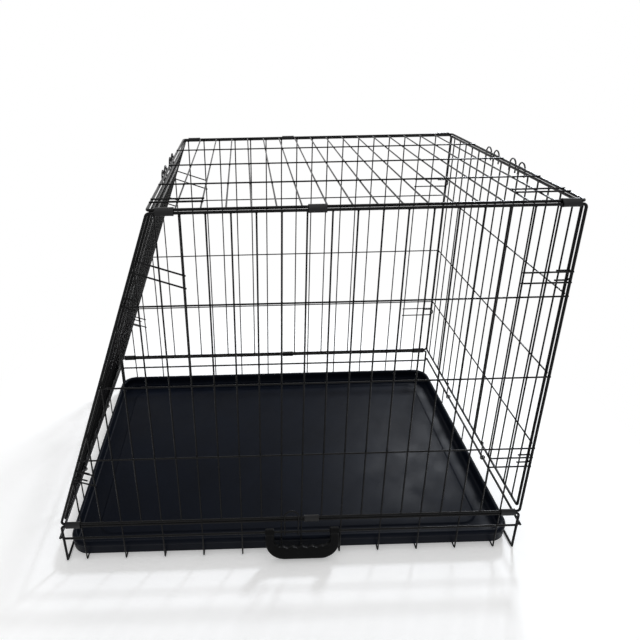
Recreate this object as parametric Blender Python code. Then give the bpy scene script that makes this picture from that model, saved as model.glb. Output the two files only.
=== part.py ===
"""A folding slant-front wire travel kennel with a lift-out tray.

Lengths are in metres, +Z is up, the slanted door end looks towards -X and the
carry handle hangs on the -Y side. The origin lies on the floor, midway between
the outermost points.
"""

import math

import bmesh
import bpy
from mathutils import Matrix, Vector

# Overall cage
PITCH = 0.0395
SIDE_SPACES = 23
TOP_LENGTH = 0.683
WIDTH = 0.620
SIDE_HEIGHT = 0.632
FRAME_WIRE = 0.005
MESH_WIRE = 0.003
HOOP_WIRE = 0.0045
FRAME_SIDES = 6
MESH_SIDES = 4
BEND = 0.006
WELD = 0.0005
GAP = 0.0003

# Base
FOOT_BEND = 0.004
FOOT_STRAIGHT = 0.0005
END_RAIL_OVER = 0.003
WALL_RAIL_Z = 0.092
HOOP_Z = 0.060
END_RAIL_Z = 0.064
LONG_WIRE_SPACING = 0.155
FLOOR_INDEX = (1, 3, 5, 7, 9, 11, 12, 14, 16, 18, 20, 22)
HANDLE_REACH = 0.0245

# Side and top panels
SIDE_ROWS = 4
TOP_RISE = 0.0038
TOP_INSET = 0.0052
REAR_PAIR_HEIGHTS = (0.616, 0.597, 0.234, 0.213)
REAR_PAIR_SPACES = 2
SLANT_PAIRS = {16: (0.556, 0.536), 21: (0.134, 0.112)}
LOOP_WIDTH = 0.0165
LOOP_ABOVE = 0.0125
LOOP_BELOW = 0.016
LOOP_OFFSETS = (1.0, 2.0)

# End panels
END_INSET = 0.0083
END_FOOT = 0.0395
END_TOP_Z = 0.7215
END_WIRES = 7
EYE_SPACES = 3
EYE_TURN = 280
HAIRPIN_OUT = 0.006
HAIRPIN_IN = 0.0215
HAIRPIN_WIDTH = 0.0175
HAIRPIN_HEIGHTS = (0.543, 0.162)

# Door in the slanted end
DOOR_SPACES = 11
DOOR_SILL = 0.079
DOOR_HEAD = 0.0395
DOOR_GAP = 0.0015
HINGE_SHARES = (0.1, 0.42, 0.87)
HINGE_ARM = 0.008
BOLT_SHARES = (0.34, 0.66)
BOLT_LENGTH = 0.090
BOLT_ROD = 0.005
BOLT_KNOB = 0.009

# Clips
CLIP_WIDTH = 0.0285
CLIP_SHEET = 0.0012
CLIP_CORNERS = 8
CLIP_HOOK = 0.62
CLIP_FROM_CORNER = 0.592
TOP_CLIP_SPACES = {"front": math.floor(TOP_LENGTH / PITCH) - 0.5, "middle": 10.5, "rear": CLIP_FROM_CORNER}
BOTTOM_CLIP_SPACES = {"front": SIDE_SPACES - CLIP_FROM_CORNER, "middle": 10.5, "rear": CLIP_FROM_CORNER}

# Tray
TRAY_END_GAP = 0.0008
TRAY_SIDE_GAP = 0.0085
TRAY_CORNER = 0.045
TRAY_HEIGHT = 0.030
TRAY_SHEET = 0.0028
TRAY_BEAD = 0.0045
TRAY_DRAFT = 0.002
TRAY_GUTTER = 0.045
TRAY_STEP = 0.0025

# Carry handle
HANDLE_CENTRE_SPACES = 10.95
HANDLE_LENGTH = 0.148
HANDLE_DROP = 0.0555
HANDLE_LEG_WIDTH = 0.018
HANDLE_LEG_DEPTH = 0.012
HANDLE_GRIP_HEIGHT = 0.026
HANDLE_GRIP_DEPTH = 0.017
HANDLE_BARREL = 0.0145
HANDLE_CORNER = 0.026
HANDLE_CORNER_DROP = 0.9
HANDLE_SIDES = 8
HANDLE_LEAN = 17
HANDLE_FINGERS = 4
HANDLE_SCALLOP = 0.0022

# Ring latch
RING_CENTRE_SPACES = 11.5
RING_WIDTH = 0.027
RING_ABOVE = 0.021
RING_HOOK = 0.0065
RING_WRAP = 130

LENGTH = PITCH * SIDE_SPACES
X_REAR = LENGTH / 2
X_FRONT = -LENGTH / 2
X_TOP_FRONT = X_REAR - TOP_LENGTH
Y_MID = HANDLE_REACH / 2 - 0.0025
Y_NEAR = Y_MID - WIDTH / 2
Y_FAR = Y_MID + WIDTH / 2

X = Vector((1, 0, 0))
Y = Vector((0, 1, 0))
Z = Vector((0, 0, 1))


def reach(diameter, sides):
    """Corner radius of the polygon whose area is that of a round wire."""
    return diameter / 2 * math.sqrt(2 * math.pi / (sides * math.sin(2 * math.pi / sides)))


def flat(diameter, sides):
    return reach(diameter, sides) * math.cos(math.pi / sides)


FRAME_REACH = reach(FRAME_WIRE, FRAME_SIDES)
FRAME_FLAT = flat(FRAME_WIRE, FRAME_SIDES)
MESH_REACH = reach(MESH_WIRE, MESH_SIDES)
MESH_FLAT = flat(MESH_WIRE, MESH_SIDES)
MESH_SPAN = MESH_FLAT if MESH_SIDES % 4 == 0 else MESH_REACH
HOOP_REACH = reach(HOOP_WIRE, FRAME_SIDES)

SIDE_BOTTOM_Z = WALL_RAIL_Z + 2 * FRAME_REACH + GAP
SIDE_TOP_Z = SIDE_BOTTOM_Z + SIDE_HEIGHT
TOP_Z = SIDE_TOP_Z + TOP_RISE
SLANT = math.atan2(SIDE_HEIGHT, LENGTH - TOP_LENGTH)
CROSSING = 2 * MESH_FLAT - WELD
EYE_RADIUS = (FRAME_REACH + GAP + MESH_SPAN) / math.cos(math.radians(20))
ARM_OFFSET = FRAME_FLAT + MESH_SPAN - WELD
FLOOR_LONG_Z = MESH_FLAT + CROSSING
FLOOR_END = FOOT_BEND + FOOT_STRAIGHT + GAP
X_PIN = LENGTH / 2 + 2 * FRAME_REACH + GAP
TRAY_FLOOR_Z = FLOOR_LONG_Z + MESH_FLAT + GAP


def column_x(index):
    """Place along the cage of an upright wire, counted from the rear post."""
    return X_REAR - index * PITCH


def slant_x(z):
    return X_FRONT + (z - SIDE_BOTTOM_Z) / math.tan(SLANT)


def slant_z(x):
    return SIDE_BOTTOM_Z + (x - X_FRONT) * math.tan(SLANT)


# Wire making


def sweep(bm, path, diameter, sides, normal, closed=False, turned=False):
    """Run a polygon along a flat path, mitred at its corners.

    Two of its faces look along the normal, or within the path's plane if turned.
    """
    path = [Vector(point) for point in path]
    normal = Vector(normal).normalized()
    radius = reach(diameter, sides)
    first = 0.0 if turned and sides % 4 else 0.5
    angles = [(k + first) * 2 * math.pi / sides for k in range(sides)]
    count = len(path)
    rings = []
    for i, point in enumerate(path):
        before = path[i - 1] if i or closed else None
        after = path[(i + 1) % count] if i < count - 1 or closed else None
        runs = []
        if before is not None:
            runs.append((point - before).normalized())
        if after is not None:
            runs.append((after - point).normalized())
        across = sum((run.cross(normal) for run in runs), Vector()).normalized()
        widen = 1 / across.dot(runs[0].cross(normal))
        ring = []
        for angle in angles:
            out = normal * (radius * math.cos(angle))
            side = across * (radius * math.sin(angle) * widen)
            ring.append(bm.verts.new(point + out + side))
        rings.append(ring)
    spans = count if closed else count - 1
    for i in range(spans):
        here = rings[i]
        there = rings[(i + 1) % count]
        for k in range(sides):
            n = (k + 1) % sides
            bm.faces.new((here[k], here[n], there[n], there[k]))
    if not closed:
        bm.faces.new(rings[0][::-1])
        bm.faces.new(rings[-1])


def rounded(points, radius, closed=False, segments=2):
    """The same path with each corner taken round an arc."""
    points = [Vector(point) for point in points]
    count = len(points)
    path = []
    for i, corner in enumerate(points):
        if not closed and i in (0, count - 1):
            path.append(corner)
            continue
        back = (points[i - 1] - corner).normalized()
        ahead = (points[(i + 1) % count] - corner).normalized()
        half = back.angle(ahead) / 2
        trim = radius / math.tan(half)
        middle = corner + (back + ahead).normalized() * (radius / math.sin(half))
        start = corner + back * trim - middle
        end = corner + ahead * trim - middle
        for k in range(segments + 1):
            share = k / segments
            turn = start.slerp(end, share)
            path.append(middle + turn.normalized() * radius)
    return path


def arc(centre, radius, along, up, start, end, steps):
    """Points round an arc, with angles in degrees from along towards up."""
    points = []
    for k in range(steps + 1):
        angle = math.radians(start + (end - start) * k / steps)
        points.append(centre + along * (radius * math.cos(angle)) + up * (radius * math.sin(angle)))
    return points


# Objects


def make_material(name, colour, roughness, metallic):
    material = bpy.data.materials.new(name)
    material.use_nodes = True
    shader = material.node_tree.nodes["Principled BSDF"]
    shader.inputs["Base Color"].default_value = (*colour, 1)
    shader.inputs["Roughness"].default_value = roughness
    shader.inputs["Metallic"].default_value = metallic
    return material


def make_object(name, bm, pivot=(0, 0, 0), material=None, place=None):
    """Name a finished mesh, put its origin on its pivot and set it in its place."""
    bmesh.ops.recalc_face_normals(bm, faces=bm.faces)
    bmesh.ops.translate(bm, vec=-Vector(pivot), verts=bm.verts)
    mesh = bpy.data.meshes.new(name)
    bm.to_mesh(mesh)
    bm.free()
    if material:
        mesh.materials.append(material)
    item = bpy.data.objects.new(name, mesh)
    item.matrix_world = (place or Matrix()) @ Matrix.Translation(pivot)
    item["pivot"] = tuple(pivot)
    bpy.context.scene.collection.objects.link(item)
    return item


def combine(item, bm, operation="UNION"):
    """Weld a layer of wires onto an object, or cut them from it."""
    index = len(item.modifiers) + 1
    helper = make_object(f"{item.name}_layer_{index}", bm, item["pivot"])
    helper.matrix_world = item.matrix_world
    helper.hide_render = True
    helper.display_type = "WIRE"
    boolean = item.modifiers.new(f"{operation.lower()}_{index}", "BOOLEAN")
    boolean.operation = operation
    boolean.object = helper
    boolean.solver = "EXACT"


def carry(child, parent):
    """Hang a piece on the piece that moves it, with its place kept."""
    child.parent = parent
    child.matrix_parent_inverse = parent.matrix_world.inverted()


def smooth(item, angle=40):
    item.data.shade_smooth()
    item.data.set_sharp_from_angle(angle=math.radians(angle))


# Base


def build_floor(material):
    """Cross wires on the floor, the end ones thicker, with three long wires welded over them."""
    cross = bmesh.new()
    for index in FLOOR_INDEX:
        x = column_x(index)
        ends = [(x, y, MESH_FLAT) for y in (Y_NEAR + FLOOR_END, Y_FAR - FLOOR_END)]
        sweep(cross, ends, MESH_WIRE, MESH_SIDES, Z)
    for hand in (-1, 1):
        x = hand * (X_PIN - FLOOR_END - FRAME_REACH)
        ends = [(x, y, FRAME_FLAT) for y in (Y_NEAR + FRAME_REACH + GAP, Y_FAR - FRAME_REACH - GAP)]
        sweep(cross, ends, FRAME_WIRE, FRAME_SIDES, Z)
    floor = make_object("base_floor_grid", cross, material=material)
    longs = bmesh.new()
    for side in (-1, 0, 1):
        y = Y_MID + side * LONG_WIRE_SPACING
        ends = [(x, y, FLOOR_LONG_Z) for x in (FLOOR_END - X_PIN, X_PIN - FLOOR_END)]
        sweep(longs, ends, MESH_WIRE, MESH_SIDES, Z)
    combine(floor, longs)
    return floor


def build_long_wall(name, y, inward, material):
    """The low wall under a side panel: bent rail, hoop wire and turned-up floor wires."""
    rail = bmesh.new()
    corners = [(X_FRONT, y, 0), (X_FRONT, y, WALL_RAIL_Z), (X_REAR, y, WALL_RAIL_Z), (X_REAR, y, 0)]
    sweep(rail, rounded(corners, BEND), FRAME_WIRE, FRAME_SIDES, Y)
    wall = make_object(name, rail, material=material)
    hoop = bmesh.new()
    sweep(hoop, [(X_FRONT, y, HOOP_Z), (X_REAR, y, HOOP_Z)], HOOP_WIRE, FRAME_SIDES, Y)
    combine(wall, hoop)
    uprights = bmesh.new()
    for index in FLOOR_INDEX:
        x = column_x(index)
        corner = Vector((x, y, MESH_FLAT))
        foot = corner + Y * (inward * FOOT_BEND)
        centre = foot + Z * FOOT_BEND
        path = [foot + Y * (inward * FOOT_STRAIGHT), *arc(centre, FOOT_BEND, Y * -inward, Z, -90, 0, 3)]
        path.append(Vector((x, y, WALL_RAIL_Z)))
        sweep(uprights, path, MESH_WIRE, MESH_SIDES, X, turned=True)
    combine(wall, uprights)
    return wall


def build_end_wall(name, x, inward, material):
    """The low wall under an end panel: its rail passes outside the posts and is the panel's pin."""
    rail = bmesh.new()
    start = Y_NEAR - END_RAIL_OVER
    end = Y_FAR + END_RAIL_OVER
    sweep(rail, [(x, start, END_RAIL_Z), (x, end, END_RAIL_Z)], FRAME_WIRE, FRAME_SIDES, Z)
    wall = make_object(name, rail, material=material)
    uprights = bmesh.new()
    for side in (-1, 0, 1):
        y = Y_MID + side * LONG_WIRE_SPACING
        foot = Vector((x + inward * FOOT_BEND, y, FLOOR_LONG_Z))
        centre = foot + Z * FOOT_BEND
        path = [foot + X * (inward * FOOT_STRAIGHT), *arc(centre, FOOT_BEND, X * -inward, Z, -90, 0, 3)]
        path.append(Vector((x, y, END_RAIL_Z)))
        sweep(uprights, path, MESH_WIRE, MESH_SIDES, Y, turned=True)
    combine(wall, uprights)
    return wall


# Side and top panels


def build_side(name, y, outward, pivot, material):
    """A side panel: bent outer frame, upright wires and the rows welded outside them."""
    frame = bmesh.new()
    corners = [
        (X_REAR, y, SIDE_BOTTOM_Z),
        (X_FRONT, y, SIDE_BOTTOM_Z),
        (X_TOP_FRONT, y, SIDE_TOP_Z),
        (X_REAR, y, SIDE_TOP_Z),
    ]
    sweep(frame, rounded(corners, BEND, closed=True), FRAME_WIRE, FRAME_SIDES, Y, closed=True)
    panel = make_object(name, frame, pivot, material)
    uprights = bmesh.new()
    for index in range(1, SIDE_SPACES):
        x = column_x(index)
        head = SIDE_TOP_Z if x > X_TOP_FRONT + BEND else slant_z(x)
        sweep(uprights, [(x, y, SIDE_BOTTOM_Z), (x, y, head)], MESH_WIRE, MESH_SIDES, Y)
    combine(panel, uprights)
    layer = y + outward * CROSSING
    rows = bmesh.new()
    for row in range(1, SIDE_ROWS):
        z = SIDE_BOTTOM_Z + row * SIDE_HEIGHT / SIDE_ROWS
        sweep(rows, [(slant_x(z), layer, z), (X_REAR, layer, z)], MESH_WIRE, MESH_SIDES, Y)
    for z in REAR_PAIR_HEIGHTS:
        end = column_x(REAR_PAIR_SPACES) - MESH_WIRE / 2
        sweep(rows, [(end, layer, z), (X_REAR, layer, z)], MESH_WIRE, MESH_SIDES, Y)
    for column, heights in SLANT_PAIRS.items():
        for height in heights:
            z = SIDE_BOTTOM_Z + height
            x = slant_x(z)
            run = column_x(column) + MESH_WIRE / 2 - x
            ends = [(x, layer, z), (x + run, layer, z - run / math.tan(SLANT))]
            sweep(rows, ends, MESH_WIRE, MESH_SIDES, Y)
    combine(panel, rows)
    return panel


def build_top(pivot, material):
    """The top panel, with inverted U stops that the end panels close against."""
    near = Y_NEAR + TOP_INSET
    far = Y_FAR - TOP_INSET
    frame = bmesh.new()
    ends = ((X_REAR, near), (X_REAR, far), (X_TOP_FRONT, far), (X_TOP_FRONT, near))
    corners = [(x, y, TOP_Z) for x, y in ends]
    sweep(frame, rounded(corners, BEND, closed=True), FRAME_WIRE, FRAME_SIDES, Z, closed=True)
    panel = make_object("top_panel", frame, pivot, material)
    cross = bmesh.new()
    for index in range(1, math.ceil(TOP_LENGTH / PITCH)):
        x = column_x(index)
        if x > X_TOP_FRONT + BEND:
            sweep(cross, [(x, near, TOP_Z), (x, far, TOP_Z)], MESH_WIRE, MESH_SIDES, Z)
    combine(panel, cross)
    longs = bmesh.new()
    for side in (-1, 0, 1):
        y = Y_MID + side * LONG_WIRE_SPACING
        layer = TOP_Z + CROSSING
        sweep(longs, [(X_TOP_FRONT, y, layer), (X_REAR, y, layer)], MESH_WIRE, MESH_SIDES, Z)
    for x, outward in ((X_REAR, 1), (X_TOP_FRONT, -1)):
        stand = x + outward * ARM_OFFSET
        half = LOOP_WIDTH / 2
        for offset in LOOP_OFFSETS:
            for hand in (-1, 1):
                y = Y_MID + hand * offset * PITCH
                crown = Vector((stand, y, TOP_Z + LOOP_ABOVE - half))
                low = TOP_Z - LOOP_BELOW
                path = [Vector((stand, y + half, low)), *arc(crown, half, Y, Z, 0, 180, 6)]
                path.append(Vector((stand, y - half, low)))
                sweep(longs, path, MESH_WIRE, MESH_SIDES, X)
    combine(panel, longs)
    return panel


# End panels, drawn upright with the hinge pin along Y through the origin


def eye_path(pin, radius, along, up, start, turn, steps=7):
    return arc(Vector(pin), radius, along, up, start, start + turn, steps)


def upright_loop(plane, half, low, high):
    return [(plane, -half, low), (plane, half, low), (plane, half, high), (plane, -half, high)]


def end_frame(plane, top, place, name, material):
    half = WIDTH / 2 - END_INSET
    frame = bmesh.new()
    corners = upright_loop(plane, half, END_FOOT, top)
    sweep(frame, rounded(corners, BEND, closed=True), FRAME_WIRE, FRAME_SIDES, X, closed=True)
    return make_object(name, frame, (0, 0, 0), material, place)


def end_fittings(plane, arm, panel):
    """Hinge eyes round the end wall's rail, and the hairpin hooks on both posts."""
    fittings = bmesh.new()
    inside = arm < 0
    for hand in (-1, 1):
        y = hand * EYE_SPACES * PITCH
        start = 180 if inside else 0
        turn = EYE_TURN if inside else -EYE_TURN
        path = [Vector((arm, y, END_FOOT + FRAME_WIRE))]
        path += eye_path((0, y, 0), EYE_RADIUS, X, Z, start, turn)
        sweep(fittings, path, MESH_WIRE, MESH_SIDES, Y)
        post = WIDTH / 2 - END_INSET
        layer = hand * (post + FRAME_REACH + MESH_FLAT - WELD)
        for height in HAIRPIN_HEIGHTS:
            half = HAIRPIN_WIDTH / 2
            tip = Vector((plane + HAIRPIN_OUT - half, layer, height))
            tail = plane - HAIRPIN_IN
            path = [Vector((tail, layer, height - half))]
            path += arc(tip, half, X, Z, -90, 90, 6)
            path.append(Vector((tail, layer, height + half)))
            sweep(fittings, path, MESH_WIRE, MESH_SIDES, Y)
    combine(panel, fittings)


def end_rows(top):
    """Heights of the rows of an end panel, level with those of the sides."""
    return [END_FOOT + row * (top - END_FOOT) / SIDE_ROWS for row in range(1, SIDE_ROWS)]


def build_rear_end(place, material):
    arm = -EYE_RADIUS
    plane = arm - ARM_OFFSET
    top = END_TOP_Z - END_RAIL_Z
    half = WIDTH / 2 - END_INSET
    panel = end_frame(plane, top, place, "rear_end_panel", material)
    uprights = bmesh.new()
    for k in range(-END_WIRES, END_WIRES + 1):
        ends = [(plane, k * PITCH, z) for z in (END_FOOT, top)]
        sweep(uprights, ends, MESH_WIRE, MESH_SIDES, X)
    combine(panel, uprights)
    rows = bmesh.new()
    for z in end_rows(top):
        layer = plane + CROSSING
        sweep(rows, [(layer, -half, z), (layer, half, z)], MESH_WIRE, MESH_SIDES, X)
    combine(panel, rows)
    end_fittings(plane, arm, panel)
    return panel


def door_opening(top):
    """Half width, sill and head of the doorway's inner frame."""
    return DOOR_SPACES * PITCH / 2, DOOR_SILL, top - DOOR_HEAD


def staple(bm, rod_height, foot, y, z):
    """An inverted U of wire over the bolt's rod, its legs ending at foot."""
    half = reach(BOLT_ROD, FRAME_SIDES) + GAP + MESH_SPAN
    crown = Vector((rod_height, y, z))
    path = [Vector((foot, y, z - half)), *arc(crown, half, X, Z, -90, 90, 4)]
    path.append(Vector((foot, y, z + half)))
    sweep(bm, path, MESH_WIRE, MESH_SIDES, Y)


def bolt_rod_offset(plane):
    return plane + FRAME_REACH + reach(BOLT_ROD, FRAME_SIDES) + 2 * GAP


def build_front_end(place, top, plane, arm, material):
    """The slanted end: a frame round the doorway, with wires above, below and beside it."""
    half = WIDTH / 2 - END_INSET
    door_half, sill, head = door_opening(top)
    panel = end_frame(plane, top, place, "front_end_panel", material)
    uprights = bmesh.new()
    for k in range(-END_WIRES, END_WIRES + 1):
        y = k * PITCH
        if abs(y) > door_half:
            spans = [(END_FOOT, top)]
        else:
            spans = [(END_FOOT, sill), (head, top)]
        for low, high in spans:
            sweep(uprights, [(plane, y, low), (plane, y, high)], MESH_WIRE, MESH_SIDES, X)
    combine(panel, uprights)
    inner = bmesh.new()
    corners = upright_loop(plane, door_half, sill, head)
    sweep(inner, rounded(corners, BEND, closed=True), FRAME_WIRE, FRAME_SIDES, X, closed=True)
    combine(panel, inner)
    rows = bmesh.new()
    layer = plane + CROSSING
    for z in end_rows(top):
        for hand in (-1, 1):
            ends = [(layer, hand * y, z) for y in (door_half, half)]
            sweep(rows, ends, MESH_WIRE, MESH_SIDES, X)
    for share in BOLT_SHARES:
        z = sill + share * (head - sill)
        staple(rows, bolt_rod_offset(plane), plane + FRAME_FLAT / 2, door_half, z)
    combine(panel, rows)
    end_fittings(plane, arm, panel)
    return panel


def door_frame_half(top):
    door_half = door_opening(top)[0]
    return door_half - 2 * FRAME_REACH - DOOR_GAP


def build_door(place, pivot, top, plane, material):
    """The door, on wire eyes round one upright of the doorway."""
    door_half, sill, head = door_opening(top)
    inset = 2 * FRAME_REACH + DOOR_GAP
    half = door_half - inset
    low = sill + inset
    high = head - inset
    frame = bmesh.new()
    corners = upright_loop(plane, half, low, high)
    sweep(frame, rounded(corners, BEND, closed=True), FRAME_WIRE, FRAME_SIDES, X, closed=True)
    door = make_object("front_door", frame, pivot, material, place)
    uprights = bmesh.new()
    inner_wires = DOOR_SPACES // 2
    for k in range(-inner_wires, inner_wires + 1):
        ends = [(plane, k * PITCH, z) for z in (low, high)]
        sweep(uprights, ends, MESH_WIRE, MESH_SIDES, X)
    combine(door, uprights)
    rows = bmesh.new()
    layer = plane + CROSSING
    for z in end_rows(top):
        sweep(rows, [(layer, -half, z), (layer, half, z)], MESH_WIRE, MESH_SIDES, X)
    for share in HINGE_SHARES:
        z = low + share * (high - low)
        lift = FRAME_FLAT + MESH_SPAN - 2 * WELD
        arm = (-half + HINGE_ARM, -half - MESH_SPAN)
        path = [Vector((plane + lift, y, z)) for y in arm]
        path += eye_path((plane, -door_half, z), EYE_RADIUS, Y, X, 90, 250, 6)
        sweep(rows, path, MESH_WIRE, MESH_SIDES, Z)
    for share in BOLT_SHARES:
        z = sill + share * (head - sill)
        staple(rows, bolt_rod_offset(plane), plane + FRAME_FLAT / 2, half, z)
        staple(rows, bolt_rod_offset(plane), plane, PITCH * (inner_wires - 1), z)
    combine(door, rows)
    return door


def build_bolt(name, share, place, top, plane, material):
    """A slide bolt: a straight rod whose inner end turns outwards as a knob."""
    _, sill, head = door_opening(top)
    z = sill + share * (head - sill)
    tip = door_frame_half(top) + MESH_REACH
    rod = bolt_rod_offset(plane)
    tail = tip - BOLT_LENGTH
    path = rounded([(rod, tip, z), (rod, tail, z), (rod + BOLT_KNOB, tail, z)], BOLT_ROD)
    bm = bmesh.new()
    sweep(bm, path, BOLT_ROD, FRAME_SIDES, Z)
    return make_object(name, bm, (rod, tip, z), material, place)


# Clips


def band(bm, inner, outer, x_start, x_end, closed):
    """A strip between two outlines in the Y-Z plane, run along X."""
    slices = []
    for x in (x_start, x_end):
        pair = []
        for outline in (inner, outer):
            pair.append([bm.verts.new((x, point.y, point.z)) for point in outline])
        slices.append(pair)
    count = len(inner)
    spans = count if closed else count - 1
    for k in range(spans):
        n = (k + 1) % count
        for layer in (0, 1):
            first = slices[0][layer]
            second = slices[1][layer]
            bm.faces.new((first[k], first[n], second[n], second[k]))
        for end in (0, 1):
            in_loop, out_loop = slices[end]
            bm.faces.new((in_loop[k], in_loop[n], out_loop[n], out_loop[k]))
    if not closed:
        for k in (0, count - 1):
            (in_a, out_a), (in_b, out_b) = slices
            bm.faces.new((in_a[k], out_a[k], out_b[k], in_b[k]))


CLIP_BORE = (FRAME_REACH + GAP) / math.cos(math.pi / CLIP_CORNERS)


def clip_outline(first, second, radius):
    """Half a turn round the second rail and then half a turn round the first."""
    line = (second - first).normalized()
    side = line.cross(X)
    steps = CLIP_CORNERS // 2
    return arc(second, radius, side, line, 0, 180, steps) + arc(first, radius, -side, -line, 0, 180, steps)


def build_clip(name, x, first, second, pivot, material, hooked=False):
    """A pressed sheet clip round two parallel rails, first and second in the Y-Z plane.

    A hooked clip goes round the first rail only and ends over the crown of the second.
    """
    outlines = []
    for radius in (CLIP_BORE, CLIP_BORE + CLIP_SHEET):
        outline = clip_outline(Vector((0, *first)), Vector((0, *second)), radius)
        if hooked:
            end, *held = outline[CLIP_CORNERS // 2:]
            outline = [held[0].lerp(end, CLIP_HOOK), *held]
        outlines.append(outline)
    bm = bmesh.new()
    band(bm, *outlines, x - CLIP_WIDTH / 2, x + CLIP_WIDTH / 2, not hooked)
    return make_object(name, bm, pivot, material)


# Tray


def corner_loop(bm, half_x, half_y, radius, z, steps=4):
    """A rounded rectangle of vertices round the tray's middle."""
    loop = []
    for sx, sy, start in ((1, 1, 0), (-1, 1, 90), (-1, -1, 180), (1, -1, 270)):
        centre = Vector((sx * (half_x - radius), Y_MID + sy * (half_y - radius), z))
        for point in arc(centre, radius, X, Y, start, start + 90, steps):
            loop.append(bm.verts.new(point))
    return loop


def build_tray(material):
    """A moulded pan: flat floor with a raised middle, drafted wall and rolled rim."""
    half_x = X_PIN - EYE_RADIUS - MESH_REACH - TRAY_END_GAP
    half_y = WIDTH / 2 - TRAY_SIDE_GAP
    foot = TRAY_FLOOR_Z
    rim = foot + TRAY_HEIGHT
    wall_x = TRAY_BEAD
    bead = [(TRAY_BEAD - TRAY_BEAD * math.cos(turn), rim - TRAY_BEAD + TRAY_BEAD * math.sin(turn))
            for turn in (math.radians(degrees) for degrees in (-40, 0, 45, 90, 135))]
    profile = [
        (TRAY_GUTTER + TRAY_STEP, foot + TRAY_STEP),
        (TRAY_GUTTER, foot),
        (wall_x + TRAY_DRAFT, foot),
        (wall_x, rim - 2 * TRAY_BEAD),
        *bead,
        (wall_x + TRAY_SHEET, rim - 2 * TRAY_BEAD),
        (wall_x + TRAY_SHEET + TRAY_DRAFT, foot + TRAY_SHEET),
        (TRAY_GUTTER, foot + TRAY_SHEET),
        (TRAY_GUTTER + TRAY_STEP, foot + TRAY_SHEET + TRAY_STEP),
    ]
    bm = bmesh.new()
    loops = []
    for inset, z in profile:
        radius = max(TRAY_CORNER - inset, BEND)
        loops.append(corner_loop(bm, half_x - inset, half_y - inset, radius, z))
    count = len(loops[0])
    for here, there in zip(loops, loops[1:]):
        for k in range(count):
            n = (k + 1) % count
            bm.faces.new((here[k], here[n], there[n], there[k]))
    bm.faces.new(loops[0])
    bm.faces.new(loops[-1])
    tray = make_object("tray", bm, material=material)
    smooth(tray, 50)
    return tray


# Handle and ring latch


def handle_stations():
    """Middle, direction across, half height and half depth along the U of the handle."""
    half = HANDLE_LENGTH / 2 - HANDLE_LEG_WIDTH / 2
    grip_z = -HANDLE_DROP + HANDLE_GRIP_HEIGHT / 2
    leg = HANDLE_LEG_WIDTH / 2
    grip = HANDLE_GRIP_HEIGHT / 2
    corner = HANDLE_CORNER
    fall = corner * HANDLE_CORNER_DROP
    stations = []
    for z in (0.0, -HANDLE_LEG_DEPTH):
        stations.append((Vector((-half, 0, z)), Vector((1, 0, 0)), leg, HANDLE_LEG_DEPTH / 2))
    for k in range(4):
        share = k / 3
        turn = math.radians(90 * share)
        x = -half + corner * (1 - math.cos(turn))
        middle = Vector((x, 0, grip_z + fall * (1 - math.sin(turn))))
        across = Vector((math.cos(turn), 0, math.sin(turn)))
        size = leg + (grip - leg) * share
        depth = HANDLE_LEG_DEPTH + (HANDLE_GRIP_DEPTH - HANDLE_LEG_DEPTH) * share
        stations.append((middle, across, size, depth / 2))
    inner = half - corner
    steps = HANDLE_FINGERS * 4
    for k in range(1, steps // 2 + 1):
        x = -inner + 2 * inner * k / steps
        dip = HANDLE_SCALLOP * 0.5 * (1 - math.cos(2 * math.pi * HANDLE_FINGERS * k / steps))
        middle = Vector((x, 0, grip_z - dip / 2))
        stations.append((middle, Vector((0, 0, 1)), grip - dip / 2, HANDLE_GRIP_DEPTH / 2))
    mirrored = []
    for middle, across, size, depth in stations[-2::-1]:
        flipped = Vector((-middle.x, 0, middle.z))
        mirrored.append((flipped, Vector((-across.x, 0, across.z)), size, depth))
    return stations + mirrored


def build_handle(pivot, material):
    """A moulded grip hung from two barrels on the base's hoop wire."""
    bm = bmesh.new()
    rings = []
    swell = reach(2, HANDLE_SIDES)
    for middle, across, size, depth in handle_stations():
        ring = []
        for k in range(HANDLE_SIDES):
            angle = (k + 0.5) * 2 * math.pi / HANDLE_SIDES
            sway = across * (size * swell * math.cos(angle))
            ring.append(bm.verts.new(middle + sway + Y * (depth * swell * math.sin(angle))))
        rings.append(ring)
    for here, there in zip(rings, rings[1:]):
        for k in range(HANDLE_SIDES):
            n = (k + 1) % HANDLE_SIDES
            bm.faces.new((here[k], here[n], there[n], there[k]))
    bm.faces.new(rings[0])
    bm.faces.new(rings[-1])
    handle = make_object("carry_handle", bm, material=material)
    half = HANDLE_LENGTH / 2 - HANDLE_LEG_WIDTH / 2
    barrels = bmesh.new()
    bores = bmesh.new()
    bore = (HOOP_REACH + GAP) / math.cos(math.pi / HANDLE_SIDES) / reach(1, HANDLE_SIDES)
    for hand in (-1, 1):
        ends = [(hand * half + step * HANDLE_LEG_WIDTH / 2, 0, 0) for step in (-1, 1)]
        sweep(barrels, ends, HANDLE_BARREL, HANDLE_SIDES, Z)
        long = [(hand * half + step * HANDLE_LEG_WIDTH, 0, 0) for step in (-1, 1)]
        sweep(bores, long, bore, HANDLE_SIDES, Z)
    combine(handle, barrels)
    combine(handle, bores, "DIFFERENCE")
    smooth(handle, 35)
    place = Matrix.Translation(pivot) @ Matrix.Rotation(math.radians(-HANDLE_LEAN), 4, "X")
    handle.matrix_world = place
    for modifier in handle.modifiers:
        modifier.object.matrix_world = place
    return handle


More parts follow.
